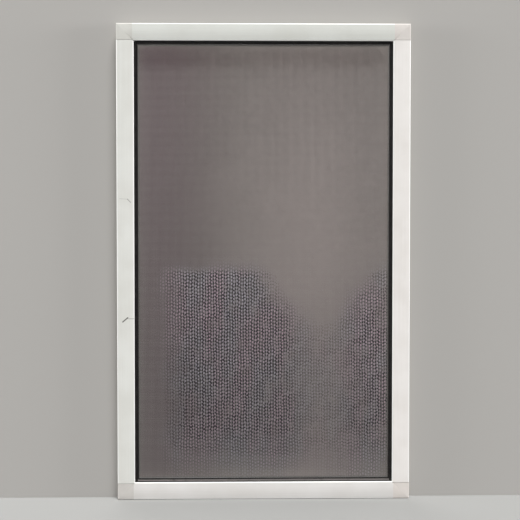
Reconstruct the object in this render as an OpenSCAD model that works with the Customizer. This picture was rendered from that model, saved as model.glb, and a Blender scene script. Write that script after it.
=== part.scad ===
// Framed insect screen: four hollow white members, four moulded corner keys, a woven mesh
// tucked into the groove round the opening, and the cord that locks it there.
// X runs to the right, Y to the back and Z up, with the origin at the middle of the bottom edge.
// A member's section is drawn in u, from its outer edge to the opening, and v, from front to back.

/* [Screen] */
// Width over both stiles
screen_w = 420; // [300:1:900]
// Height over both rails
screen_h = 682; // [400:1:1500]

/* [Member section] */
// Width of the painted face
face_w = 25; // [22:0.5:32]
// Depth from the front face to the back face
depth = 11; // [10:0.5:14]
// Thickness of the walls
wall_t = 1; // [0.8:0.1:1.2]
// How far the middle of the face stands proud of its edges
crown_h = 0.7; // [0.3:0.05:0.8]
// Radius of the two long front edges
front_r = 1.5; // [1:0.1:2]
// Radius of the long back edges
back_r = 0.6; // [0.3:0.1:0.8]
// Clear width of the groove that takes the mesh and its cord
groove_w = 4.6; // [4.2:0.1:6]
// Thickness of the lip between groove and opening
lip_t = 1.1; // [0.8:0.1:1.6]
// How far the lip stays behind the front of the face
lip_drop = 3; // [2.4:0.1:3.6]
// Height of the two barbs inside the groove's mouth
barb_h = 0.3; // [0.2:0.05:0.4]

/* [Corner keys] */
// How far a key's square head stops short of the face's inner edge
key_inset = 2; // [1.5:0.5:3]
// Chamfer on the head's inner upright edge
key_chamfer = 1; // [0.8:0.1:2]
// Open seam between a key's head and the end of each stile
seam_gap = 0.4; // [0.1:0.1:1]
// Length of each leg inside its member
leg_len = 38; // [20:1:60]
// Height of the crush ribs and saw teeth on the legs
rib_h = 0.8; // [0.5:0.1:1]
// Length of the moulded crease on the head, from its inner corner
crease_len = 14; // [6:1:14]
// Depth of that crease at the inner corner, from which it runs out to nothing
crease_depth = 0.4; // [0.2:0.05:0.6]

/* [Mesh] */
// Thickness of the plain cloth
cloth_t = 0.35; // [0.25:0.05:0.45]
// Height of the upright ridges in front and of the level ridges behind
ridge_h = 0.4; // [0.2:0.05:0.5]
// Width of one ridge
ridge_w = 1.4; // [0.6:0.1:2]
// Cloth left between a gap and the ridges round it
gap_margin = 0.4; // [0.2:0.1:1]
// Open gaps across the mesh
gap_cols = 8; // [4:1:8]
// Open gaps up the mesh
gap_rows = 14; // [6:1:14]
// Ridges from one gap to the next
ridges_per_gap = 6; // [3:1:6]

/* [Locking cord] */
// Distance from the front of the face to the top of the cord
cord_drop = 3.3; // [3:0.1:4]
// Height of the squeezed cord
cord_h = 5.4; // [4.6:0.1:5.8]
// Radius of the ridges along the cord
cord_rib_r = 0.28; // [0.2:0.02:0.36]

/* [Marks of use] */
// Height of the upper scuff on the left stile, over the bottom edge
scuff_z = 432; // [100:1:600]
// Height of the lower nick on the left stile
nick_z = 261; // [100:1:600]
// Depth of the nick, the deeper of the two
nick_depth = 0.45; // [0.2:0.05:0.6]

/* [Hidden] */

front_y = -depth / 2;
key_side = face_w - key_inset;
groove_u = face_w + groove_w;
sight_u = groove_u + lip_t;
// Radius of the face's crown, from its height over half the face
crown_r = (pow(face_w / 2, 2) + pow(crown_h, 2)) / (2 * crown_h);
// Depth of the centre of a front edge's radius, which all but runs into the crown
edge_v = crown_r - sqrt(pow(crown_r - front_r, 2) - pow(face_w / 2 - front_r, 2)) - 0.05;
hollow_v = wall_t + crown_h;
hollow_w = face_w - 2 * wall_t;
hollow_d = depth - wall_t - hollow_v;
floor_v = depth - wall_t;

// The cloth's fold lies against the tips of the barbs
fold_out_u = face_w + barb_h;
fold_in_u = groove_u - barb_h;
cord_u = fold_out_u + cloth_t;
cord_w = fold_in_u - fold_out_u - 2 * cloth_t;
cloth_v = lip_drop - cloth_t;
fold_top_v = lip_drop + 1.6;

open_w = screen_w - 2 * sight_u;
open_h = screen_h - 2 * sight_u;
pitch_x = open_w / (gap_cols * ridges_per_gap);
pitch_z = open_h / (gap_rows * ridges_per_gap);

// Depth of the crowned face behind its middle, at a distance u from the outer edge
function crown_v(u) = crown_r - sqrt(pow(crown_r, 2) - pow(u - face_w / 2, 2));

paint = [0.87, 0.86, 0.84];
key_plastic = [0.84, 0.82, 0.79];
cloth_grey = [0.29, 0.27, 0.26];
cord_black = [0.07, 0.07, 0.07];
past = 1;

// Solid outline of the box part of a member, crowned in front and rounded at its edges
module box_outline() {
    intersection() {
        translate([face_w / 2, crown_r]) circle(r = crown_r, $fn = 720);
        union() {
            translate([front_r, 0]) square([face_w - 2 * front_r, depth / 2]);
            translate([0, edge_v]) square([face_w, depth - edge_v - back_r]);
            translate([back_r, depth / 2]) square([face_w - back_r, depth / 2]);
            for (u = [front_r, face_w - front_r]) {
                translate([u, edge_v]) circle(r = front_r, $fn = 48);
            }
            translate([back_r, depth - back_r]) circle(r = back_r, $fn = 32);
        }
    }
}

// Groove floor and lip, flush with the back of the box, with a barb on each side of the groove's
// mouth. A barb's steep side faces the back, so that it holds the cord in.
module groove_channel() {
    lip_mid_u = groove_u + lip_t / 2;
    root = 0.3;
    barb_v = lip_drop + 0.6;
    translate([face_w - wall_t / 2, floor_v]) square([sight_u - face_w + wall_t / 2 - back_r, wall_t]);
    translate([groove_u, lip_drop + lip_t / 2]) square([lip_t, depth - lip_drop - lip_t / 2 - back_r]);
    translate([lip_mid_u, lip_drop + lip_t / 2]) circle(r = lip_t / 2, $fn = 32);
    translate([sight_u - back_r, depth - back_r]) circle(r = back_r, $fn = 32);
    translate([face_w, barb_v]) polygon([[-root, 0], [0, 0], [barb_h, 0.9], [0, 1.2], [-root, 1.2]]);
    translate([groove_u, barb_v]) polygon([[0, 0], [root, 0], [root, 1.2], [0, 1.2], [-barb_h, 0.9]]);
}

// Whole section of a member
module member_section() {
    difference() {
        union() {
            box_outline();
            groove_channel();
        }
        translate([wall_t, hollow_v]) square([hollow_w, hollow_d]);
    }
}

// Turns an outline drawn in x and z into a slab through the whole depth
module through_depth() {
    translate([0, depth / 2 + past, 0]) rotate([90, 0, 0]) linear_extrude(depth + 2 * past) children();
}

// Left stile: square cut under each key's head, and mitred from the head to the opening
module stile() {
    end_z = key_side + seam_gap;
    tip_u = sight_u + past;
    intersection() {
        translate([0, front_y, 0]) linear_extrude(screen_h) member_section();
        through_depth() polygon([
            [-past, end_z], [key_side, end_z], [tip_u, tip_u + seam_gap],
            [tip_u, screen_h - tip_u - seam_gap], [key_side, screen_h - end_z], [-past, screen_h - end_z]
        ]);
    }
}

// Bottom rail: the same section and cuts, pushed home against the keys
module rail() {
    end_x = screen_w / 2 - key_side;
    tip_x = screen_w / 2 - sight_u - past;
    intersection() {
        translate([screen_w / 2, front_y, 0]) rotate([0, -90, 0]) linear_extrude(screen_w) member_section();
        through_depth() polygon([
            [-end_x, -past], [end_x, -past], [end_x, key_side], [tip_x, sight_u + past],
            [-tip_x, sight_u + past], [-end_x, key_side]
        ]);
    }
}

// A straight V-shaped mark on the crowned face, from one u and z to another
module mark(from_uz, to_uz, mark_depth) {
    run = to_uz - from_uz;
    from_v = crown_v(from_uz[0]);
    sink = crown_v(to_uz[0]) - from_v;
    side = mark_depth * sqrt(2);
    translate([from_uz[0], front_y + from_v, from_uz[1]])
        rotate([0, -atan2(run[1], run[0]), 0]) rotate([0, 0, atan2(sink, norm(run))]) rotate([45, 0, 0])
            translate([0, -side / 2, -side / 2]) cube([norm([run[0], run[1], sink]), side, side]);
}

module left_stile() {
    color(paint) translate([-screen_w / 2, 0, 0]) difference() {
        stile();
        // Lower nick, a short deep stroke that runs out level towards the opening
        mark([8.2, nick_z - 4.5], [15.4, nick_z + 1.6], nick_depth);
        mark([15.2, nick_z], [face_w - 0.6, nick_z], nick_depth / 2);
        // Upper scuff, level and then falling towards the opening
        mark([4.2, scuff_z + 0.8], [15.8, scuff_z], nick_depth / 2.6);
        mark([15.4, scuff_z + 0.2], [20, scuff_z - 4.6], nick_depth / 1.5);
    }
}

module right_stile() {
    color(paint) mirror([1, 0, 0]) translate([-screen_w / 2, 0, 0]) stile();
}

module bottom_rail() {
    color(paint) rail();
}

module top_rail() {
    color(paint) translate([0, 0, screen_h]) mirror([0, 0, 1]) rail();
}

// Flat tongue of a key's leg with saw teeth on both sides, drawn in u and along the leg
module tongue_outline() {
    tongue_u = wall_t + rib_h;
    tongue_w = key_side - 0.4 - tongue_u;
    nose = 4;
    teeth = 5;
    pitch = (leg_len - 2 * nose) / teeth;
    translate([tongue_u, -nose]) polygon([
        [0, 0], [tongue_w, 0], [tongue_w, leg_len], [tongue_w - nose, leg_len + nose],
        [nose, leg_len + nose], [0, leg_len]
    ]);
    for (i = [0:teeth - 1]) {
        translate([0, nose + i * pitch]) {
            polygon([[tongue_u + 1, 0], [tongue_u + 1, pitch], [wall_t, 1.2], [wall_t, 0.4]]);
            polygon([
                [tongue_u + tongue_w - 1, 0], [face_w - wall_t, 0.4],
                [face_w - wall_t, 1.2], [tongue_u + tongue_w - 1, pitch]
            ]);
        }
    }
}

// Leg that fills a member's hollow: tongue, and crush ribs that bear on its front and back walls
module key_leg() {
    tongue_v = hollow_v + rib_h;
    tongue_d = hollow_d - 2 * rib_h;
    rib_w = 1.2;
    translate([0, tongue_v + tongue_d, key_side]) rotate([90, 0, 0]) linear_extrude(tongue_d) tongue_outline();
    for (side = [0.2, 0.5, 0.8]) {
        translate([wall_t + hollow_w * side - rib_w / 2, hollow_v, key_side - 2]) {
            cube([rib_w, hollow_d, leg_len - 4]);
        }
    }
}

// Half of a key, on the stile's side of its mitre
module key_half() {
    intersection() {
        linear_extrude(key_side) intersection() {
            box_outline();
            square([key_side, depth]);
        }
        translate([0, depth + past, 0]) rotate([90, 0, 0]) linear_extrude(depth + 2 * past) {
            polygon([
                [0, 0], [key_side - key_chamfer / 2, key_side - key_chamfer / 2],
                [key_side - key_chamfer, key_side], [0, key_side]
            ]);
        }
    }
    key_leg();
}

// Whole key for the bottom left corner, with a crease along the inner part of its mitre
module corner_key() {
    start = key_side - crease_len / sqrt(2);
    side = crease_depth * sqrt(2);
    // The bar that cuts the crease starts just above the face and sinks to its inner corner
    start_v = 0.05 - crease_depth;
    sink = atan2(crown_v(key_side) - start_v, crease_len);
    color(key_plastic) translate([0, front_y, 0]) difference() {
        union() {
            key_half();
            mirror([1, 0, -1]) key_half();
        }
        translate([start, start_v, start]) rotate([0, -45, 0]) rotate([0, 0, sink]) rotate([45, 0, 0]) {
            translate([0, -side / 2, -side / 2]) cube([crease_len + past, side, side]);
        }
    }
}

module corner_bottom_left() {
    translate([-screen_w / 2, 0, 0]) corner_key();
}

module corner_bottom_right() {
    mirror([1, 0, 0]) corner_bottom_left();
}

module corner_top_left() {
    translate([0, 0, screen_h]) mirror([0, 0, 1]) corner_bottom_left();
}

module corner_top_right() {
    mirror([1, 0, 0]) corner_top_left();
}

// Ring of rectangular section round the opening, between two u and two v
module ring(u_from, u_to, v_from, v_to) {
    translate([0, front_y + v_to, 0]) rotate([90, 0, 0]) linear_extrude(v_to - v_from) difference() {
        translate([-screen_w / 2 + u_from, u_from]) square([screen_w - 2 * u_from, screen_h - 2 * u_from]);
        translate([-screen_w / 2 + u_to, u_to]) square([screen_w - 2 * u_to, screen_h - 2 * u_to]);
    }
}

// Plain cloth of the mesh with its open gaps, each in a cell between four ridges
module gapped_cloth() {
    cloth_w = screen_w - 2 * fold_in_u;
    cloth_h = screen_h - 2 * fold_in_u;
    mid_cell = floor(ridges_per_gap / 2);
    inset = ridge_w / 2 + gap_margin;
    translate([0, front_y + lip_drop, 0]) rotate([90, 0, 0]) linear_extrude(cloth_t) difference() {
        translate([-cloth_w / 2, fold_in_u]) square([cloth_w, cloth_h]);
        for (i = [0:gap_cols - 1], j = [0:gap_rows - 1]) {
            translate([
                -open_w / 2 + (i * ridges_per_gap + mid_cell) * pitch_x + inset,
                sight_u + (j * ridges_per_gap + mid_cell) * pitch_z + inset
            ]) {
                square([pitch_x - 2 * inset, pitch_z - 2 * inset]);
            }
        }
    }
}

// Woven mesh: cloth over the lips and down into the grooves, with ridges and open gaps for its weave
module insect_mesh() {
    ridge_end = 0.5;
    ridge_d = ridge_h + cloth_t / 2;
    color(cloth_grey) union() {
        gapped_cloth();
        ring(fold_in_u - cloth_t, fold_in_u, cloth_v, floor_v);
        ring(fold_out_u, fold_in_u, floor_v - cloth_t, floor_v);
        ring(fold_out_u, fold_out_u + cloth_t, fold_top_v, floor_v);
        for (i = [1:gap_cols * ridges_per_gap - 1]) {
            translate([-open_w / 2 + i * pitch_x - ridge_w / 2, front_y + cloth_v - ridge_h, sight_u + ridge_end]) {
                cube([ridge_w, ridge_d, open_h - 2 * ridge_end]);
            }
        }
        for (i = [1:gap_rows * ridges_per_gap - 1]) {
            translate([-open_w / 2 + ridge_end, front_y + lip_drop - cloth_t / 2, sight_u + i * pitch_z - ridge_w / 2]) {
                cube([open_w - 2 * ridge_end, ridge_d, ridge_w]);
            }
        }
    }
}

// Section of the locking cord, squeezed between the two sides of the cloth's fold
module cord_section() {
    cord_r = cord_w / 2;
    mid_u = cord_u + cord_r;
    top_v = cord_drop + cord_rib_r + cord_r;
    low_v = cord_drop + cord_h - cord_r;
    translate([cord_u, top_v]) square([cord_w, low_v - top_v]);
    for (v = [top_v, low_v]) {
        translate([mid_u, v]) circle(r = cord_r, $fn = 48);
    }
    for (turn = [-50, -25, 0, 25, 50]) {
        translate([mid_u + cord_r * sin(turn), top_v - cord_r * cos(turn)]) circle(r = cord_rib_r, $fn = 24);
    }
}

// The two side lengths run the whole groove, and the top and bottom lengths fit between them
module left_spline() {
    color(cord_black) translate([-screen_w / 2, front_y, cord_u]) {
        linear_extrude(screen_h - 2 * cord_u) cord_section();
    }
}

module right_spline() {
    mirror([1, 0, 0]) left_spline();
}

module bottom_spline() {
    run = screen_w - 2 * (cord_u + cord_w);
    color(cord_black) translate([run / 2, front_y, 0]) rotate([0, -90, 0]) linear_extrude(run) cord_section();
}

module top_spline() {
    translate([0, 0, screen_h]) mirror([0, 0, 1]) bottom_spline();
}

left_stile();
right_stile();
top_rail();
bottom_rail();
corner_top_left();
corner_top_right();
corner_bottom_left();
corner_bottom_right();
insect_mesh();
left_spline();
right_spline();
top_spline();
bottom_spline();
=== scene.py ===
# Framed insect screen, in the order in which the real one is put together: four painted aluminium
# members, four moulded corner keys, the woven mesh, and the cords that lock it in its groove. Everything is
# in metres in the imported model's own frame: X to the right, Y to the back and Z up.
import math
import random
import bpy
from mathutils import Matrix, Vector


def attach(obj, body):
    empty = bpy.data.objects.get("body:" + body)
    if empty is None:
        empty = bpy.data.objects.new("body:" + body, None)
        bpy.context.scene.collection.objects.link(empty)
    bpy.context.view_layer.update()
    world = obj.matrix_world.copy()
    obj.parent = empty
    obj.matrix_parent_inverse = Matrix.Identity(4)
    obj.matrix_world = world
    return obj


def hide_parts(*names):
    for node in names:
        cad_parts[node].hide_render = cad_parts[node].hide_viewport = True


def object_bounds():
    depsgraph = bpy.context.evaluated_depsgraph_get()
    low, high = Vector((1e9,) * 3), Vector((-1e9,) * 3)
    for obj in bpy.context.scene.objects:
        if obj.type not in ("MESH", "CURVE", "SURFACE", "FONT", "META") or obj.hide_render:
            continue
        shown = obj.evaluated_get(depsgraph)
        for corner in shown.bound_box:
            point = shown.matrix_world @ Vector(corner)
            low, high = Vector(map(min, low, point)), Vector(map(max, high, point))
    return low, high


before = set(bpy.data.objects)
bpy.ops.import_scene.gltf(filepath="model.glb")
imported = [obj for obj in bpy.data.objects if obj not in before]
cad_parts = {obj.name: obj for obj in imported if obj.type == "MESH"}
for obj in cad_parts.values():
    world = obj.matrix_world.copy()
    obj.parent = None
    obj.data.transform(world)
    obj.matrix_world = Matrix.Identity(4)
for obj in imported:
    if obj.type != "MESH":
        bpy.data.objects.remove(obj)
cad_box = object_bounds()

# White members. Each one is a hollow aluminium section, cut to length, washed and stoved with a satin
# white paint that shows a faint orange peel and the lines of drawing under it. They push on to the keys.
# The groove and its lip are painted near black, as painted shade in the recess, and dirt has settled along the
# two seams of each stile.
screen_low, screen_high = cad_box
front_y = screen_low.y
half_width = screen_high.x
screen_height = screen_high.z
face_width = 0.025
sight_width = 0.0307
edge_start, edge_full = 0.0107, 0.0119
key_reach = 0.0232
paint_white = (0.80, 0.79, 0.755, 1)
paint_shade = (0.735, 0.72, 0.68, 1)
groove_painted_shade = (0.035, 0.031, 0.028, 1)
bare_mark = (0.035, 0.029, 0.024, 1)
seam_dirt = (0.20, 0.18, 0.155, 1)
edge_highlight_white = (0.92, 0.915, 0.89, 1)
side_rub_and_shade = (0.43, 0.42, 0.40, 1)
# Tones for each member: painted light and shade, with the rails and left stile darker and the right stile
# brighter.
left_stile_painted_shade = (0.955, 0.97, 0.965)
right_stile_painted_light = (1.07, 1.045, 1.055)
top_rail_painted_shade = (0.85, 0.875, 0.865)
bottom_rail_painted_shade = (0.93, 0.92, 0.935)


def add_node(tree, kind, inputs=None, **settings):
    """Adds a node, gives it its own settings, and sets or links each named input."""
    made = tree.nodes.new(kind)
    for name, value in settings.items():
        setattr(made, name, value)
    for name, value in (inputs or {}).items():
        if isinstance(value, bpy.types.NodeSocket):
            tree.links.new(value, made.inputs[name])
        else:
            made.inputs[name].default_value = value
    return made


def maths(tree, operation, *values):
    return add_node(tree, "ShaderNodeMath", dict(enumerate(values)), operation=operation).outputs[0]


def vector_maths(tree, operation, *values):
    made = add_node(tree, "ShaderNodeVectorMath", dict(enumerate(values)), operation=operation)
    return made.outputs["Value" if operation in ("DOT_PRODUCT", "LENGTH") else "Vector"]


def ramp(tree, value, start, end, at_start=0.0, at_end=1.0):
    """Eases from one value to another as the input goes from start to end."""
    inputs = {"Value": value, "From Min": start, "From Max": end, "To Min": at_start, "To Max": at_end}
    return add_node(tree, "ShaderNodeMapRange", inputs, interpolation_type="SMOOTHSTEP").outputs["Result"]


def blend_colour(tree, factor, first, second):
    made = add_node(tree, "ShaderNodeMix", data_type="RGBA")
    for place, value in ((0, factor), (6, first), (7, second)):
        if isinstance(value, bpy.types.NodeSocket):
            tree.links.new(value, made.inputs[place])
        else:
            made.inputs[place].default_value = value
    return made.outputs[2]


def start_group(name, takes, gives):
    """A shader node group with its named sockets; returns the tree, its inputs and its output node."""
    tree = bpy.data.node_groups.new(name, "ShaderNodeTree")
    for socket, kind, value in takes:
        made = tree.interface.new_socket(socket, in_out="INPUT", socket_type=kind)
        made.default_value = value
    for socket in gives:
        tree.interface.new_socket(socket, in_out="OUTPUT", socket_type="NodeSocketFloat")
    inputs = tree.nodes.new("NodeGroupInput").outputs
    return tree, inputs, tree.nodes.new("NodeGroupOutput")


def use_group(tree, group, inputs=None):
    made = add_node(tree, "ShaderNodeGroup", node_tree=group)
    for name, value in (inputs or {}).items():
        made.inputs[name].default_value = value
    return made.outputs


def start_material(name):
    """A new material; returns it with its tree and its Principled shader."""
    material = bpy.data.materials.new(name)
    material.use_nodes = True
    return material, material.node_tree, material.node_tree.nodes["Principled BSDF"]


def paint_over(node, material):
    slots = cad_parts[node].material_slots
    for one in slots:
        one.material = material


def make_paint_grain():
    """Satin paint: broad unevenness of tone, orange peel, and drawing lines along the member."""
    takes = [("Along", "NodeSocketVector", (1, 1, 1))]
    tree, given, out = start_group("paint_grain", takes, ("Tone", "Height"))
    place = add_node(tree, "ShaderNodeTexCoord").outputs["Object"]
    drawn = vector_maths(tree, "MULTIPLY", place, given["Along"])
    broad = add_node(tree, "ShaderNodeTexNoise", {"Vector": place, "Scale": 22.0, "Detail": 3.0})
    lines = add_node(tree, "ShaderNodeTexNoise", {"Vector": drawn, "Scale": 900.0, "Detail": 2.0})
    peel = add_node(tree, "ShaderNodeTexNoise", {"Vector": place, "Scale": 650.0, "Detail": 1.0})
    tone = maths(tree, "ADD", maths(tree, "MULTIPLY", broad.outputs["Fac"], 0.7),
                 maths(tree, "MULTIPLY", lines.outputs["Fac"], 0.3))
    height = maths(tree, "ADD", maths(tree, "MULTIPLY", peel.outputs["Fac"], 0.7),
                   maths(tree, "MULTIPLY", lines.outputs["Fac"], 0.3))
    tree.links.new(ramp(tree, tone, 0.32, 0.68), out.inputs["Tone"])
    tree.links.new(height, out.inputs["Height"])
    return tree


def make_stroke():
    """Mask of one straight stroke on the front face, between two points, fading over its width."""
    takes = [("From", "NodeSocketVector", (0, 0, 0)), ("To", "NodeSocketVector", (0, 0, 1)),
             ("Width", "NodeSocketFloat", 0.001)]
    tree, given, out = start_group("stroke", takes, ("Mask",))
    place = add_node(tree, "ShaderNodeTexCoord").outputs["Object"]
    flat = vector_maths(tree, "MULTIPLY", place, (1, 0, 1))
    run = vector_maths(tree, "SUBTRACT", given["To"], given["From"])
    reach = vector_maths(tree, "SUBTRACT", flat, given["From"])
    share = maths(tree, "DIVIDE", vector_maths(tree, "DOT_PRODUCT", reach, run),
                  vector_maths(tree, "DOT_PRODUCT", run, run))
    share = maths(tree, "MINIMUM", maths(tree, "MAXIMUM", share, 0.0), 1.0)
    scaled = add_node(tree, "ShaderNodeVectorMath", {0: run, "Scale": share}, operation="SCALE").outputs
    gap = vector_maths(tree, "LENGTH", vector_maths(tree, "SUBTRACT", reach, scaled["Vector"]))
    fade = add_node(tree, "ShaderNodeMapRange", {
        "Value": gap, "From Min": 0.0, "From Max": given["Width"], "To Min": 1.0, "To Max": 0.0,
    }, interpolation_type="SMOOTHSTEP")
    depth = add_node(tree, "ShaderNodeSeparateXYZ", {0: place}).outputs["Y"]
    in_front = ramp(tree, depth, front_y + 0.002, front_y + 0.003, 1.0, 0.0)
    tree.links.new(maths(tree, "MULTIPLY", fade.outputs["Result"], in_front), out.inputs["Mask"])
    return tree


def make_screen_place():
    """Masks by place on the screen: the groove with its lip, painted dark as painted shade; the seams beside
    the keys;
    the two rounded long edges of the face, a painted highlight; and the outer side, rubbed and painted darker
    as painted shade."""
    tree, _, out = start_group("screen_place", [], ("Groove", "Seam", "Edge", "SideRubAndShade"))
    place = add_node(tree, "ShaderNodeTexCoord").outputs["Object"]
    axes = add_node(tree, "ShaderNodeSeparateXYZ", {0: place}).outputs
    in_from_side = maths(tree, "SUBTRACT", half_width, maths(tree, "ABSOLUTE", axes["X"]))
    centre_z = screen_height / 2
    up_off_centre = maths(tree, "ABSOLUTE", maths(tree, "SUBTRACT", axes["Z"], centre_z))
    in_from_end = maths(tree, "SUBTRACT", centre_z, up_off_centre)
    inward = maths(tree, "MINIMUM", in_from_side, in_from_end)
    # The groove with its lip: painted shade in the recess.
    groove = maths(tree, "MULTIPLY", ramp(tree, inward, face_width - 0.00015, face_width - 0.00002),
                   ramp(tree, inward, sight_width - 0.00015, sight_width, 1.0, 0.65))
    groove = maths(tree, "MULTIPLY", groove, ramp(tree, axes["Y"], 0.0040, 0.0046, 1.0, 0.0))
    off_seam = maths(tree, "ABSOLUTE", maths(tree, "SUBTRACT", in_from_end, key_reach))
    seam = maths(tree, "MULTIPLY", ramp(tree, off_seam, 0.0001, 0.0008, 1.0, 0.0),
                 ramp(tree, in_from_side, 0.024, 0.0245, 1.0, 0.0))
    # The rounded long edges of the face: painted highlight.
    off_middle = maths(tree, "ABSOLUTE", maths(tree, "SUBTRACT", inward, face_width / 2))
    edge = maths(tree, "MULTIPLY", ramp(tree, off_middle, edge_start, edge_full),
                 ramp(tree, axes["Y"], front_y + 0.0023, front_y + 0.0033, 1.0, 0.0))
    streaks = add_node(tree, "ShaderNodeTexNoise", {"Vector": place, "Scale": 55.0, "Detail": 4.0})
    # Outer side: rubbed, and also painted darker as painted shade against the strong lamp light on it.
    side_rub_and_shade_mask = maths(tree, "MULTIPLY", ramp(tree, inward, 0.00003, 0.0003, 1.0, 0.0),
                   ramp(tree, streaks.outputs["Fac"], 0.35, 0.6, 0.85, 1.0))
    tree.links.new(edge, out.inputs["Edge"])
    tree.links.new(groove, out.inputs["Groove"])
    tree.links.new(seam, out.inputs["Seam"])
    tree.links.new(side_rub_and_shade_mask, out.inputs["SideRubAndShade"])
    return tree


paint_grain = make_paint_grain()
stroke = make_stroke()
screen_place = make_screen_place()


def toned(colour, tone):
    return tuple(part * share for part, share in zip(colour, tone)) + (1,)


def white_paint(name, along, tone, marks=()):
    """Satin white paint for one member, with its marks of use as (from, to, width, strength)."""
    material, tree, shader = start_material(name)
    grain = use_group(tree, paint_grain, {"Along": along})
    masks = use_group(tree, screen_place)
    # The member's tone is painted light and shade.
    colour = blend_colour(tree, grain["Tone"], toned(paint_shade, tone), toned(paint_white, tone))
    # Painted highlight: the rounded long edges paler than the face.
    colour = blend_colour(tree, masks["Edge"], colour, edge_highlight_white)
    colour = blend_colour(tree, maths(tree, "MULTIPLY", masks["Seam"], 0.4), colour, seam_dirt)
    # Outer side: rubbed grey and painted shade.
    colour = blend_colour(tree, masks["SideRubAndShade"], colour, side_rub_and_shade)
    for start, end, width, strength in marks:
        mask = use_group(tree, stroke, {"From": start, "To": end, "Width": width})["Mask"]
        colour = blend_colour(tree, maths(tree, "MULTIPLY", mask, strength), colour, bare_mark)
    # Painted shade: the groove and its lip near black.
    colour = blend_colour(tree, maths(tree, "MULTIPLY", masks["Groove"], 0.97), colour, groove_painted_shade)
    tree.links.new(colour, shader.inputs["Base Color"])
    satin = ramp(tree, grain["Tone"], 0.0, 1.0, 0.36, 0.29)
    rough = maths(tree, "MAXIMUM", satin, maths(tree, "MULTIPLY", masks["SideRubAndShade"], 0.65))
    tree.links.new(rough, shader.inputs["Roughness"])
    bump = add_node(tree, "ShaderNodeBump", {"Strength": 0.12, "Distance": 0.0002, "Height": grain["Height"]})
    tree.links.new(bump.outputs["Normal"], shader.inputs["Normal"])
    return material


def on_left_stile(across, up):
    """A point on the left stile's face, from its outer edge and the bottom of the screen."""
    return (-half_width + across, 0.0, up)


nick_height = 0.261
scuff_height = 0.432
stile_marks = [
    (on_left_stile(0.0082, nick_height - 0.0045), on_left_stile(0.0154, nick_height + 0.0016), 0.0014, 1.0),
    (on_left_stile(0.0152, nick_height), on_left_stile(0.0244, nick_height), 0.0008, 0.5),
    (on_left_stile(0.0042, scuff_height + 0.0008), on_left_stile(0.0158, scuff_height), 0.0007, 0.25),
    (on_left_stile(0.0154, scuff_height + 0.0002), on_left_stile(0.0200, scuff_height - 0.0046), 0.0009, 0.6),
]
up_the_stile = (1.0, 1.0, 0.01)
along_the_rail = (0.01, 1.0, 1.0)
paint_over("left_stile", white_paint("left_stile_paint", up_the_stile, left_stile_painted_shade, stile_marks))
paint_over("right_stile", white_paint("right_stile_paint", up_the_stile, right_stile_painted_light))
paint_over("top_rail", white_paint("top_rail_paint", along_the_rail, top_rail_painted_shade))
paint_over("bottom_rail", white_paint("bottom_rail_paint", along_the_rail, bottom_rail_painted_shade))

# Corner keys. Each is one moulding of off-white plastic, a shade warmer and duller than the paint, with a
# fine matt grain and a moulded crease on its inner corner, darkened faintly as painted shade. Its legs push
# into the members.
key_plastic = (0.66, 0.64, 0.60, 1)
key_plastic_shade = (0.625, 0.605, 0.565, 1)
crease_painted_shade = (0.16, 0.14, 0.12, 1)
crease_length = 0.014
crease_inner = 0.023
crease_outer = crease_inner - crease_length / math.sqrt(2)


def moulded_plastic(name, side, level, tone):
    """Plastic of one key; side is -1 or 1, and level is 0 at the bottom and 1 at the top."""
    material, tree, shader = start_material(name)
    place = add_node(tree, "ShaderNodeTexCoord").outputs["Object"]
    broad = add_node(tree, "ShaderNodeTexNoise", {"Vector": place, "Scale": 60.0, "Detail": 3.0})
    fine = add_node(tree, "ShaderNodeTexNoise", {"Vector": place, "Scale": 1600.0, "Detail": 2.0})
    ends = []
    for inset in (crease_outer, crease_inner):
        ends.append((side * (half_width - inset), 0.0, inset if level == 0 else screen_height - inset))
    crease = use_group(tree, stroke, {"From": ends[0], "To": ends[1], "Width": 0.0008})["Mask"]
    colour = blend_colour(tree, ramp(tree, broad.outputs["Fac"], 0.35, 0.65),
                          toned(key_plastic_shade, tone), toned(key_plastic, tone))
    # Painted shade: a faint dark line along the crease.
    colour = blend_colour(tree, maths(tree, "MULTIPLY", crease, 0.05), colour, crease_painted_shade)
    masks = use_group(tree, screen_place)
    # Outer side: rubbed grey and painted shade.
    colour = blend_colour(tree, masks["SideRubAndShade"], colour, side_rub_and_shade)
    tree.links.new(colour, shader.inputs["Base Color"])
    tree.links.new(ramp(tree, masks["SideRubAndShade"], 0.0, 1.0, 0.52, 0.65), shader.inputs["Roughness"])
    grain = {"Strength": 0.25, "Distance": 0.0001, "Height": fine.outputs["Fac"]}
    tree.links.new(add_node(tree, "ShaderNodeBump", grain).outputs["Normal"], shader.inputs["Normal"])
    return material


# Each key's tone is painted light and shade: the right keys brighter, the left keys darker.
for key, side, level, tone in (
    ("corner_top_left", -1, 1, (0.95, 0.97, 0.965)), ("corner_top_right", 1, 1, (1.05, 1.02, 1.03)),
    ("corner_bottom_left", -1, 0, (0.94, 0.93, 0.935)), ("corner_bottom_right", 1, 0, (1.08, 1.04, 1.04)),
):
    paint_over(key, moulded_plastic(f"{key}_plastic", side, level, tone))

# Insect mesh. A sheet of coated yarn, sixteen threads to the inch each way, fused where they cross. It lies
# over the lips of the members, goes down and across the groove and up its outer side, where the cord holds
# it. A pale film lies on it, partly dust and partly a painted glow over the middle, least toward the left, and
# dots of dust sit in the weave of its lower half. The yarn is painted darker toward the left and near the
# frame's inner edge, as painted shade.
thread_pitch = 0.0015875
thread_radius = 0.00022
thread_sides = 6
lip_rest = front_y + 0.003
level_y = lip_rest - thread_radius
upright_y = level_y - 0.0001
fold_inner = 0.0291
fold_outer = 0.02549
fold_floor_y = front_y + 0.0098
fold_end_y = front_y + 0.0046
spread = 0.00008
steadily = random.Random(16)


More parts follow.
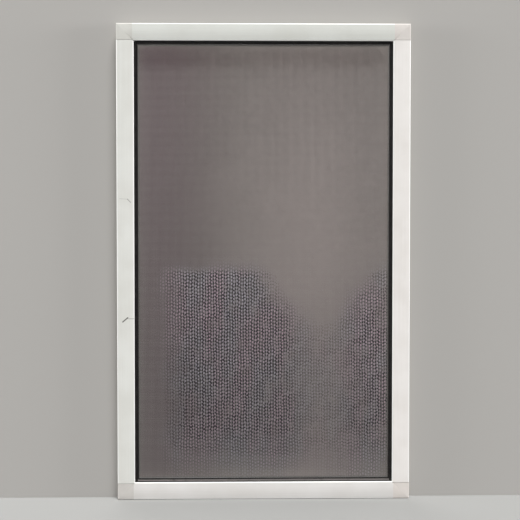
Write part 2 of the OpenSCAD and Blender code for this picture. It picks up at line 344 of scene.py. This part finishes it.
def add_thread(vertices, faces, path, across):
    """A closed thread along a path that bends in one plane, which has across for its normal, with mitred
    bends."""
    first = len(vertices)
    for i, point in enumerate(path):
        back = (point - path[i - 1]).normalized() if i else (path[1] - point).normalized()
        ahead = (path[i + 1] - point).normalized() if i < len(path) - 1 else back
        along = (back + ahead).normalized()
        outward = along.cross(across) / along.dot(back)
        for k in range(thread_sides):
            turn = 2 * math.pi * (k + 0.5) / thread_sides
            vertices.append(point + thread_radius * (math.cos(turn) * across + math.sin(turn) * outward))
    for i in range(len(path) - 1):
        for k in range(thread_sides):
            a = first + i * thread_sides + k
            b = first + i * thread_sides + (k + 1) % thread_sides
            faces.append((a, b, b + thread_sides, a + thread_sides))
    last = first + (len(path) - 1) * thread_sides
    faces.append(tuple(first + k for k in reversed(range(thread_sides))))
    faces.append(tuple(last + k for k in range(thread_sides)))


def fold_path(reach, flat_y):
    """Half of a thread's way, as (distance from the middle, y), from the end of its fold to the flat."""
    outer, inner = reach - fold_outer, reach - fold_inner
    return [(outer, fold_end_y), (outer, fold_floor_y), (inner, fold_floor_y), (inner, flat_y)]


def fold_stops(reach, flat_y):
    """Places down the fold, a pitch apart, for the threads that run along it."""
    corners = fold_path(reach, flat_y)[::-1]
    stops = []
    left_over = thread_pitch
    for (from_u, from_y), (to_u, to_y) in zip(corners, corners[1:]):
        length = math.hypot(to_u - from_u, to_y - from_y)
        while left_over < length:
            share = left_over / length
            stops.append((from_u + (to_u - from_u) * share, from_y + (to_y - from_y) * share))
            left_over += thread_pitch
        left_over -= length
    return stops


middle_z = screen_height / 2
vertices, faces = [], []
across_x, across_z = Vector((1, 0, 0)), Vector((0, 0, 1))
for reach, other_reach, flat_y, upright in (
    (half_width, middle_z, upright_y, True),
    (middle_z, half_width, level_y, False),
):
    count = int(2 * (reach - fold_inner - thread_radius) / thread_pitch)
    half_way = fold_path(other_reach, flat_y)
    whole_way = [(-distance, y) for distance, y in half_way] + half_way[::-1]
    for i in range(count):
        offset = (i - (count - 1) / 2) * thread_pitch + steadily.uniform(-spread, spread)
        if upright:
            path = [Vector((offset, y, middle_z + distance)) for distance, y in whole_way]
        else:
            path = [Vector((distance, y, middle_z + offset)) for distance, y in whole_way]
        add_thread(vertices, faces, path, across_x if upright else across_z)
    run = other_reach - fold_inner
    for distance, y in fold_stops(reach, flat_y):
        for side in (-1, 1):
            if upright:
                path = [Vector((side * distance, y, middle_z + end * run)) for end in (-1, 1)]
            else:
                path = [Vector((end * run, y, middle_z + side * distance)) for end in (-1, 1)]
            add_thread(vertices, faces, path, across_x if upright else across_z)

mesh_data = bpy.data.meshes.new("woven_insect_mesh")
mesh_data.from_pydata(vertices, [], faces)
mesh_data.validate()
mesh_data.shade_smooth()
woven_mesh = bpy.data.objects.new("woven_insect_mesh", mesh_data)
bpy.context.scene.collection.objects.link(woven_mesh)

# Dust and dirt lie in uneven upright rows, round dirt_x. They thin out along a lane that widens upward.
bar_pitch = 2.45 * thread_pitch
dot_pitch = 3.1 * thread_pitch
swerve_size = 0.00025
swerves = ((21.0, 12.0), (-14.0, 32.0))
row_step = 0.618
row_chance = 0.4
dirt_x = 0.028
lane_x = 0.083
lane_core, lane_edge = 0.01, 0.065
lane_widening = 0.045
widens_from, widens_to = 0.24, 0.33
low_lane_strength = 0.55
full_lane_from, full_lane_to = 0.20, 0.28
film_x, film_reach = 0.06, 0.20
film_strength = 0.24
yarn_coat = (0.113, 0.090, 0.084, 1)
yarn_coat_worn = (0.141, 0.113, 0.106, 1)
yarn_left_painted_shade = (0.070, 0.022, 0.042, 1)
pink_dust = (0.92, 0.68, 0.80, 1)
grey_dust = (0.78, 0.74, 0.84, 1)
film_dust_and_glow = (0.85, 0.715, 0.695, 1)
yarn_bare = (0.010, 0.006, 0.009, 1)
yarn_edge_painted_shade = (0.020, 0.016, 0.016, 1)


def make_weave():
    """Yarn that goes over and under: a height that rises at every second crossing, and the dust that
    the coating holds, in uneven upright rows of dots, each row a step from the next."""
    tree, _, out = start_group("weave", [], ("Height", "Dots"))
    place = add_node(tree, "ShaderNodeTexCoord").outputs["Object"]
    axes = add_node(tree, "ShaderNodeSeparateXYZ", {0: place}).outputs
    up = maths(tree, "SUBTRACT", axes["Z"], middle_z)
    across_wave = maths(tree, "SINE", maths(tree, "MULTIPLY", axes["X"], math.pi / thread_pitch))
    up_wave = maths(tree, "SINE", maths(tree, "MULTIPLY", up, math.pi / thread_pitch))
    sines = []
    for a, b in swerves:
        slant = maths(tree, "ADD", maths(tree, "MULTIPLY", axes["X"], a), maths(tree, "MULTIPLY", up, b))
        sines.append(maths(tree, "SINE", maths(tree, "MULTIPLY", slant, 2 * math.pi)))
    swerve = maths(tree, "MULTIPLY", maths(tree, "ADD", *sines), swerve_size)
    bar_place = maths(tree, "DIVIDE", maths(tree, "ADD", axes["X"], swerve), bar_pitch)
    column = maths(tree, "FLOOR", maths(tree, "ADD", bar_place, 0.5))
    chance = maths(tree, "FRACT", maths(tree, "MULTIPLY", column, row_step))
    chance = maths(tree, "MULTIPLY", chance, row_chance)
    step = maths(tree, "ADD", maths(tree, "MULTIPLY", column, 0.5), chance)
    dot_place = maths(tree, "ADD", maths(tree, "DIVIDE", maths(tree, "ADD", up, swerve), dot_pitch), step)
    bar_wave = maths(tree, "COSINE", maths(tree, "MULTIPLY", bar_place, 2 * math.pi))
    dot_wave = maths(tree, "COSINE", maths(tree, "MULTIPLY", dot_place, 2 * math.pi))
    dots = maths(tree, "MULTIPLY", ramp(tree, bar_wave, 0.0, 0.6), ramp(tree, dot_wave, -0.6, 0.2))
    tree.links.new(maths(tree, "MULTIPLY", across_wave, up_wave), out.inputs["Height"])
    tree.links.new(dots, out.inputs["Dots"])
    return tree


material, tree, shader = start_material("coated_yarn")
weave = use_group(tree, make_weave())
place = add_node(tree, "ShaderNodeTexCoord").outputs["Object"]
axes = add_node(tree, "ShaderNodeSeparateXYZ", {0: place}).outputs
drift = add_node(tree, "ShaderNodeTexNoise", {"Vector": place, "Scale": 9.0, "Detail": 3.0}).outputs["Fac"]
drift = maths(tree, "MULTIPLY", maths(tree, "SUBTRACT", drift, 0.5), 0.10)
dust_up = maths(tree, "ADD", axes["Z"], drift)
dust_out = maths(tree, "ADD", maths(tree, "ABSOLUTE", maths(tree, "SUBTRACT", axes["X"], dirt_x)), drift)
dusty = maths(tree, "MULTIPLY", ramp(tree, dust_up, 0.315, 0.345, 1.0, 0.0), ramp(tree, dust_up, 0.0, 0.08))
dusty = maths(tree, "MULTIPLY", dusty, ramp(tree, dust_out, 0.13, 0.185, 1.0, 0.0))
from_lane = maths(tree, "ABSOLUTE", maths(tree, "SUBTRACT", axes["X"], lane_x))
widening = ramp(tree, axes["Z"], widens_from, widens_to, 0.0, lane_widening)
from_lane = maths(tree, "ADD", maths(tree, "SUBTRACT", from_lane, widening), drift)
lane = ramp(tree, from_lane, lane_core, lane_edge, 1.0, 0.0)
lane = maths(tree, "MULTIPLY", lane, ramp(tree, dust_up, full_lane_from, full_lane_to, low_lane_strength, 1.0))
dusty = maths(tree, "MULTIPLY", dusty, maths(tree, "SUBTRACT", 1.0, lane))
patchy = add_node(tree, "ShaderNodeTexNoise", {"Vector": place, "Scale": 45.0, "Detail": 2.0}).outputs["Fac"]
dusty = maths(tree, "MULTIPLY", dusty, ramp(tree, patchy, 0.3, 0.5, 0.5, 1.0))
worn = add_node(tree, "ShaderNodeTexNoise", {"Vector": place, "Scale": 140.0, "Detail": 2.0}).outputs["Fac"]
colour = blend_colour(tree, ramp(tree, worn, 0.35, 0.65), yarn_coat, yarn_coat_worn)
# A pale film round film_x: partly dust, partly a painted glow over the middle of the mesh.
from_film = maths(tree, "ABSOLUTE", maths(tree, "SUBTRACT", axes["X"], film_x))
film = ramp(tree, maths(tree, "ADD", from_film, drift), 0.0, film_reach, film_strength, 0.0)
film = maths(tree, "MULTIPLY", ramp(tree, dust_up, 0.30, 0.64, 1.0, 0.3), film)
colour = blend_colour(tree, film, colour, film_dust_and_glow)
# Painted shade: the yarn darker toward the left.
colour = blend_colour(tree, ramp(tree, axes["X"], -0.17, -0.02, 0.60, 0.0), colour, yarn_left_painted_shade)
colour = blend_colour(tree, dusty, colour, yarn_bare)
drawn_up = vector_maths(tree, "MULTIPLY", place, (1.0, 1.0, 0.35))
streaks = add_node(tree, "ShaderNodeTexNoise", {"Vector": drawn_up, "Scale": 26.0, "Detail": 2.0})
dust = blend_colour(tree, ramp(tree, streaks.outputs["Fac"], 0.42, 0.58), grey_dust, pink_dust)
washed = maths(tree, "MULTIPLY", ramp(tree, axes["Z"], 0.10, 0.22, 0.8, 1.0), weave["Dots"])
colour = blend_colour(tree, maths(tree, "MULTIPLY", dusty, washed), colour, dust)
from_side = maths(tree, "SUBTRACT", half_width, maths(tree, "ABSOLUTE", axes["X"]))
from_middle = maths(tree, "ABSOLUTE", maths(tree, "SUBTRACT", axes["Z"], middle_z))
from_edge = maths(tree, "MINIMUM", from_side, maths(tree, "SUBTRACT", middle_z, from_middle))
# Painted shade: the yarn darker near the frame's inner edge.
colour = blend_colour(tree, ramp(tree, from_edge, 0.0315, 0.0345), yarn_edge_painted_shade, colour)
tree.links.new(colour, shader.inputs["Base Color"])
shader.inputs["Roughness"].default_value = 0.55
bump = add_node(tree, "ShaderNodeBump", {"Strength": 0.5, "Distance": 0.0001, "Height": weave["Height"]})
tree.links.new(bump.outputs["Normal"], shader.inputs["Normal"])
mesh_data.materials.append(material)
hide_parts("insect_mesh")
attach(woven_mesh, "root")

# Dirt packed in the mesh. It fills holes of the lower half, in the rows between the dots of dust, more of
# them toward the left, where the extra plugs are painted shade, and fewer in a cleaner lane right of the
# middle.
# In each hole it lies on the lower thread, and where there is less of it, it reaches less far up.
packed_dirt = (0.012, 0.009, 0.011, 1)
packed_dirt_pale = toned(packed_dirt, (2.2, 2.1, 2.1))
plug_half = thread_pitch / 2 - 0.6 * thread_radius
columns = int(0.178 / thread_pitch)
rows = 190
least_fill = 0.12


def eased(value, start, end):
    share = min(max((value - start) / (end - start), 0.0), 1.0)
    return share * share * (3 - 2 * share)


def dirt_waves(x, up):
    """The two waves by which dirt lies in the weave: across its upright bars, and along each bar."""
    swerve = swerve_size * sum(math.sin(2 * math.pi * (a * x + b * up)) for a, b in swerves)
    bar_place = (x + swerve) / bar_pitch
    column = math.floor(bar_place + 0.5)
    dot_place = (up + swerve) / dot_pitch + column * 0.5 + (column * row_step % 1.0) * row_chance
    return math.cos(2 * math.pi * bar_place), math.cos(2 * math.pi * dot_place)


def dirt_share(x, z):
    """How much of a hole the dirt fills on average at a place on the mesh."""
    share = eased(z, 0.335, 0.320) * eased(z, 0.05, 0.11) * eased(abs(x - dirt_x), 0.18, 0.13)
    from_lane = abs(x - lane_x) - lane_widening * eased(z, widens_from, widens_to)
    lane = low_lane_strength + (1 - low_lane_strength) * eased(z, full_lane_from, full_lane_to)
    return share * (1 - lane * eased(from_lane, lane_edge, lane_core))


vertices, faces = [], []
for i in range(-columns, columns):
    for j in range(-rows, 0):
        x, up = (i + 0.5) * thread_pitch, (j + 0.5) * thread_pitch
        z = middle_z + up
        # More plugs toward the left: painted shade.
        most = 0.2 + 0.2 * eased(x, 0.03, -0.09)
        bar_wave, dot_wave = dirt_waves(x, up)
        fill = dirt_share(x, z) * steadily.uniform(0.95, 1.30)
        if bar_wave < most and dot_wave < most and fill > least_fill:
            top = 2 * min(fill, 1.0) - 1
            first = len(vertices)
            for side_x, side_z in ((-1, -1), (1, -1), (1, top), (-1, top)):
                vertices.append(Vector((x + side_x * plug_half, level_y, z + side_z * plug_half)))
            faces.append((first, first + 1, first + 2, first + 3))
dirt_data = bpy.data.meshes.new("dirt_in_mesh")
dirt_data.from_pydata(vertices, [], faces)
dirt_in_mesh = bpy.data.objects.new("dirt_in_mesh", dirt_data)
bpy.context.scene.collection.objects.link(dirt_in_mesh)

material, tree, shader = start_material("packed_dirt")
place = add_node(tree, "ShaderNodeTexCoord").outputs["Object"]
crumbs = add_node(tree, "ShaderNodeTexNoise", {"Vector": place, "Scale": 900.0, "Detail": 3.0})
crumbs = crumbs.outputs["Fac"]
colour = blend_colour(tree, ramp(tree, crumbs, 0.35, 0.65), packed_dirt, packed_dirt_pale)
tree.links.new(colour, shader.inputs["Base Color"])
shader.inputs["Roughness"].default_value = 0.9
bump = add_node(tree, "ShaderNodeBump", {"Strength": 0.6, "Distance": 0.0001, "Height": crumbs})
tree.links.new(bump.outputs["Normal"], shader.inputs["Normal"])
dirt_data.materials.append(material)
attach(dirt_in_mesh, "root")

# Locking cords. Four lengths of black extruded rubber, ribbed along their length and pressed into the
# groove over the mesh with a roller. The roller leaves fine cross marks, and dust lies on the bottom one.
cord_black = (0.008, 0.0075, 0.0075, 1)
cord_grey = (0.022, 0.020, 0.019, 1)
cord_dust = (0.30, 0.275, 0.265, 1)
roller_pitch = 0.0016


def cord_rubber(name, along, dust):
    material, tree, shader = start_material(name)
    place = add_node(tree, "ShaderNodeTexCoord").outputs["Object"]
    axes = add_node(tree, "ShaderNodeSeparateXYZ", {0: place}).outputs
    roller = maths(tree, "SINE", maths(tree, "MULTIPLY", axes[along], 2 * math.pi / roller_pitch))
    broad = add_node(tree, "ShaderNodeTexNoise", {"Vector": place, "Scale": 120.0, "Detail": 3.0})
    broad = broad.outputs["Fac"]
    colour = blend_colour(tree, ramp(tree, broad, 0.35, 0.65), cord_black, cord_grey)
    if dust:
        lying = maths(tree, "MULTIPLY", ramp(tree, broad, 0.2, 0.5, 0.6, 1.0), dust)
        colour = blend_colour(tree, lying, colour, cord_dust)
    tree.links.new(colour, shader.inputs["Base Color"])
    shader.inputs["Roughness"].default_value = 0.6
    shader.inputs["Specular IOR Level"].default_value = 0.3
    bump = add_node(tree, "ShaderNodeBump", {"Strength": 0.4, "Distance": 0.0001, "Height": roller})
    tree.links.new(bump.outputs["Normal"], shader.inputs["Normal"])
    return material


for cord, along, dust in (
    ("left_spline", "Z", 0.0), ("right_spline", "Z", 0.0),
    ("top_spline", "X", 0.0), ("bottom_spline", "X", 1.0),
):
    paint_over(cord, cord_rubber(f"{cord}_rubber", along, dust))

# Studio. A plain pale floor and a plain pale wall close behind the screen, lit by one broad lamp high in
# front, two soft side lamps for the long edges, and a lamp behind for the back of the screen.
wall_y = 0.014
studio_reach = 14.0
wall_grey = (0.447, 0.434, 0.414, 1)
floor_grey = (0.28, 0.28, 0.272, 1)
floor_away = (0.08, 0.08, 0.08, 1)


def stage_plane(name, corners, grey):
    data = bpy.data.meshes.new(name)
    data.from_pydata(corners, [], [(0, 1, 2, 3)])
    plane = bpy.data.objects.new(name, data)
    bpy.context.scene.collection.objects.link(plane)
    material, tree, shader = start_material(name)
    shader.inputs["Base Color"].default_value = grey
    shader.inputs["Roughness"].default_value = 0.9
    shader.inputs["Specular IOR Level"].default_value = 0.1
    data.materials.append(material)
    return tree, shader


def seen_directly(tree):
    """1 for what the camera sees, by itself or in a reflection, and 0 for the light that surfaces pass on."""
    rays = add_node(tree, "ShaderNodeLightPath").outputs
    mirrored = maths(tree, "MAXIMUM", rays["Is Glossy Ray"], rays["Is Transmission Ray"])
    return maths(tree, "MAXIMUM", rays["Is Camera Ray"], mirrored)


r = studio_reach
floor_corners = [(-r, -r, 0), (r, -r, 0), (r, r, 0), (-r, r, 0)]
tree, shader = stage_plane("studio_floor", floor_corners, floor_grey)
tree.links.new(blend_colour(tree, seen_directly(tree), floor_away, floor_grey), shader.inputs["Base Color"])

# The wall shows from the front only, and lets the lamps through.
wall_corners = [(-r, wall_y, 0), (r, wall_y, 0), (r, wall_y, r), (-r, wall_y, r)]
tree, shader = stage_plane("studio_wall", wall_corners, wall_grey)
clear = tree.nodes.new("ShaderNodeBsdfTransparent")
one_sided = tree.nodes.new("ShaderNodeMixShader")
behind = add_node(tree, "ShaderNodeNewGeometry").outputs["Backfacing"]
shadow_ray = add_node(tree, "ShaderNodeLightPath").outputs["Is Shadow Ray"]
tree.links.new(maths(tree, "MAXIMUM", behind, shadow_ray), one_sided.inputs["Fac"])
tree.links.new(shader.outputs["BSDF"], one_sided.inputs[1])
tree.links.new(clear.outputs["BSDF"], one_sided.inputs[2])
tree.links.new(one_sided.outputs["Shader"], tree.nodes["Material Output"].inputs["Surface"])


def hang_lamp(name, kind, place, strength):
    """A lamp aimed at the middle of the screen."""
    data = bpy.data.lights.new(name, kind)
    data.energy = strength
    lamp = bpy.data.objects.new(name, data)
    lamp.location = place
    lamp.rotation_euler = (Vector((0, 0, middle_z)) - Vector(place)).to_track_quat("-Z", "Y").to_euler()
    bpy.context.scene.collection.objects.link(lamp)
    return data


def far_lamp(name, direction, strength, spread):
    data = hang_lamp(name, "SUN", direction, strength)
    data.angle = math.radians(spread)


far_lamp("high_lamp", (0.5, -1.95, 4.95), 4.35, 24)
far_lamp("left_edge_lamp", (-1.5, -0.18, 0.42), 2.2, 18)
far_lamp("right_edge_lamp", (1.5, -0.20, 0.42), 2.4, 18)
back_lamp = hang_lamp("back_lamp", "AREA", (-0.8, 3.4, 1.3), 62.0)
back_lamp.shape = "RECTANGLE"
back_lamp.size, back_lamp.size_y = 2.4, 2.0

room_strength, room_strength_seen = 0.425, 0.62
world = bpy.data.worlds.new("soft_room")
world.use_nodes = True
bpy.context.scene.world = world
tree = world.node_tree
background = tree.nodes["Background"]
background.inputs["Color"].default_value = (1.0, 0.995, 0.985, 1)
strength = ramp(tree, seen_directly(tree), 0.0, 1.0, room_strength, room_strength_seen)
tree.links.new(strength, background.inputs["Strength"])

# Camera. A long lens a good two metres in front, a little to the left and above the middle, level but for
# a slight tilt down, so that the screen fills the picture's height.
focal_pixels, picture_pixels = 1600.0, 520.0
tilt_down, turn_right = 2.607, 1.541
camera_data = bpy.data.cameras.new("camera")
camera_data.sensor_width = 36.0
camera_data.lens = focal_pixels * camera_data.sensor_width / picture_pixels
camera = bpy.data.objects.new("camera", camera_data)
camera.location = (-0.0669, -2.2927, 0.4492)
camera.rotation_euler = (math.radians(90.0 - tilt_down), 0.0, math.radians(-turn_right))
bpy.context.scene.collection.objects.link(camera)
bpy.context.scene.camera = camera

bpy.context.scene.view_settings.view_transform = "Standard"
